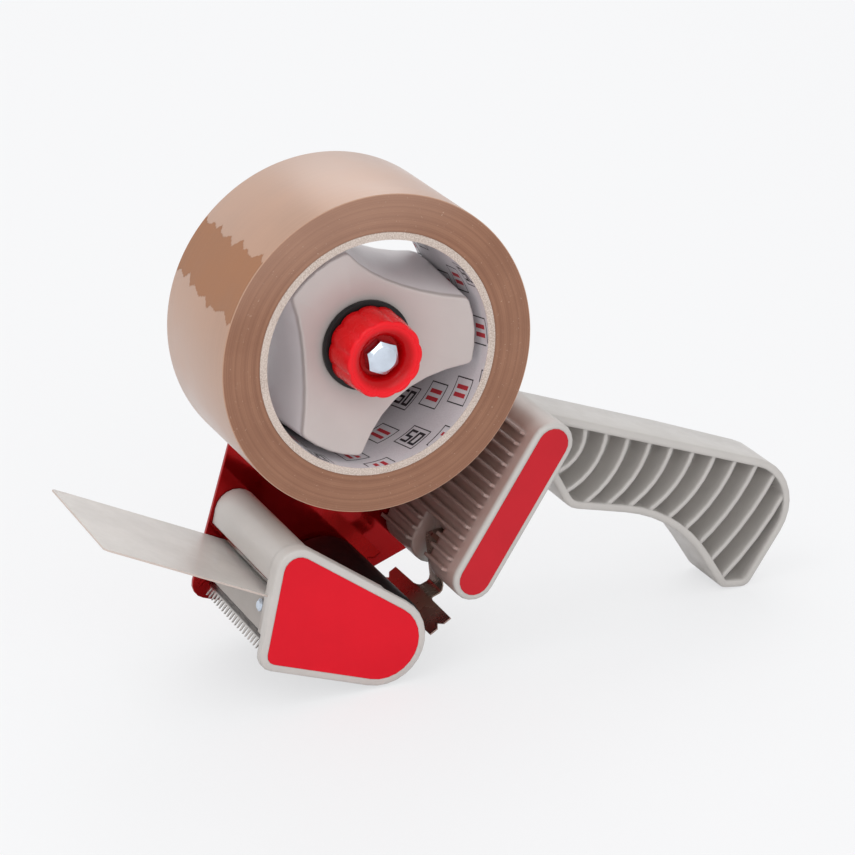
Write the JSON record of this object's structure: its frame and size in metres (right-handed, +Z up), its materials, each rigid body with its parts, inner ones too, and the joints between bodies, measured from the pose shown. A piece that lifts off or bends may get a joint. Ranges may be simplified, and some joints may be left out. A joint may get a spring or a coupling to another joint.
{
  "type": "hand tape dispenser",
  "caption": "Hand held carton tape dispenser: tape roll on a lobed hub with brake knob, guide roller, wiper flap, toothed blade and ribbed pistol grip on a steel side plate.",
  "frame": {"origin": "centre of the bounding box's bottom, on the surface that the roller and the handle's tip stand on", "axes": "+X from the blade towards the grip, +Y along the roll's axis towards the steel side plate, +Z up"},
  "size_m": [0.2552, 0.0648, 0.168],
  "materials": {
    "side_frame": "glossy red powder coat on pressed steel",
    "front_housing": "satin light warm grey moulding",
    "front_label": "satin red foil label",
    "cutting_blade": "dark hardened steel with bright teeth",
    "blade_screw": "bright steel",
    "wiper_flap": "frosted translucent film",
    "flap_clamp": "bright steel strip",
    "flap_rivet": "bright",
    "roller_axle": "bright steel",
    "frame_screw": "zinc plated",
    "roller_core": "black moulding",
    "roller_sleeve": "black rubber",
    "handle": "satin light warm grey moulding",
    "handle_label": "satin red foil label",
    "anti_return_spring": "polished spring steel",
    "hub": "satin light warm grey moulding",
    "cardboard_core": "plain cardboard",
    "tape_roll": "glossy brown film, satin at the wound ends",
    "brake_knob": "glossy red moulding",
    "brake_bolt": "zinc plated",
    "brake_spring": "bright spring steel",
    "friction_washer": "black",
    "hub_bushing": "turned steel",
    "rear_washer": "zinc plated",
    "weld_nut": "plain steel"
  },
  "bodies": {
    "dispenser": {"side_frame": "side_frame", "front_housing": "front_housing", "front_label": "front_label", "cutting_blade": "cutting_blade", "blade_screw_near": "blade_screw", "blade_screw_far": "blade_screw", "flap_root": "wiper_flap", "flap_clamp": "flap_clamp", "flap_rivet_near": "flap_rivet", "flap_rivet_far": "flap_rivet", "roller_axle": "roller_axle", "axle_screw": "frame_screw", "handle": "handle", "handle_label": "handle_label", "handle_screw_low": "frame_screw", "handle_screw_middle": "frame_screw", "handle_screw_top": "frame_screw", "housing_screw_bar": "frame_screw", "housing_screw_shelf": "frame_screw", "hub_bushing": "hub_bushing", "rear_washer": "rear_washer", "weld_nut": "weld_nut"},
    "roll": {"hub": "hub", "cardboard_core": "cardboard_core", "tape_roll": "tape_roll"},
    "brake": {"brake_knob": "brake_knob", "brake_bolt": "brake_bolt", "brake_spring": "brake_spring", "friction_washer": "friction_washer"},
    "guide_roller": {"roller_core": "roller_core", "roller_sleeve": "roller_sleeve"},
    "flap": {"wiper_flap": "wiper_flap"},
    "leaf_spring": {"anti_return_spring": "anti_return_spring"}
  },
  "joints": [
    {"name": "hub_spin", "type": "hinge", "parent": "dispenser", "child": "roll", "pos_m": [-0.03286, -0.0026, 0.1149], "axis": [0, 1, 0], "continuous": true},
    {"name": "knob_turn", "type": "hinge", "parent": "dispenser", "child": "brake", "pos_m": [-0.03286, -0.0026, 0.1149], "axis": [0, 1, 0], "range_deg": [-180, 180]},
    {"name": "roller_spin", "type": "hinge", "parent": "dispenser", "child": "guide_roller", "pos_m": [-0.03526, -0.0026, 0.0163], "axis": [0, 1, 0], "continuous": true},
    {"name": "flap_flex", "type": "hinge", "parent": "dispenser", "child": "flap", "pos_m": [-0.0719, -0.0026, 0.03874], "axis": [0, 1, 0], "range_deg": [-20, 35], "stiffness_Nm_per_rad": 0.06},
    {"name": "spring_flex", "type": "hinge", "parent": "dispenser", "child": "leaf_spring", "pos_m": [-0.00227, -0.0026, 0.0383], "axis": [0, 1, 0], "range_deg": [-3.5, 5], "stiffness_Nm_per_rad": 0.2}
  ]
}
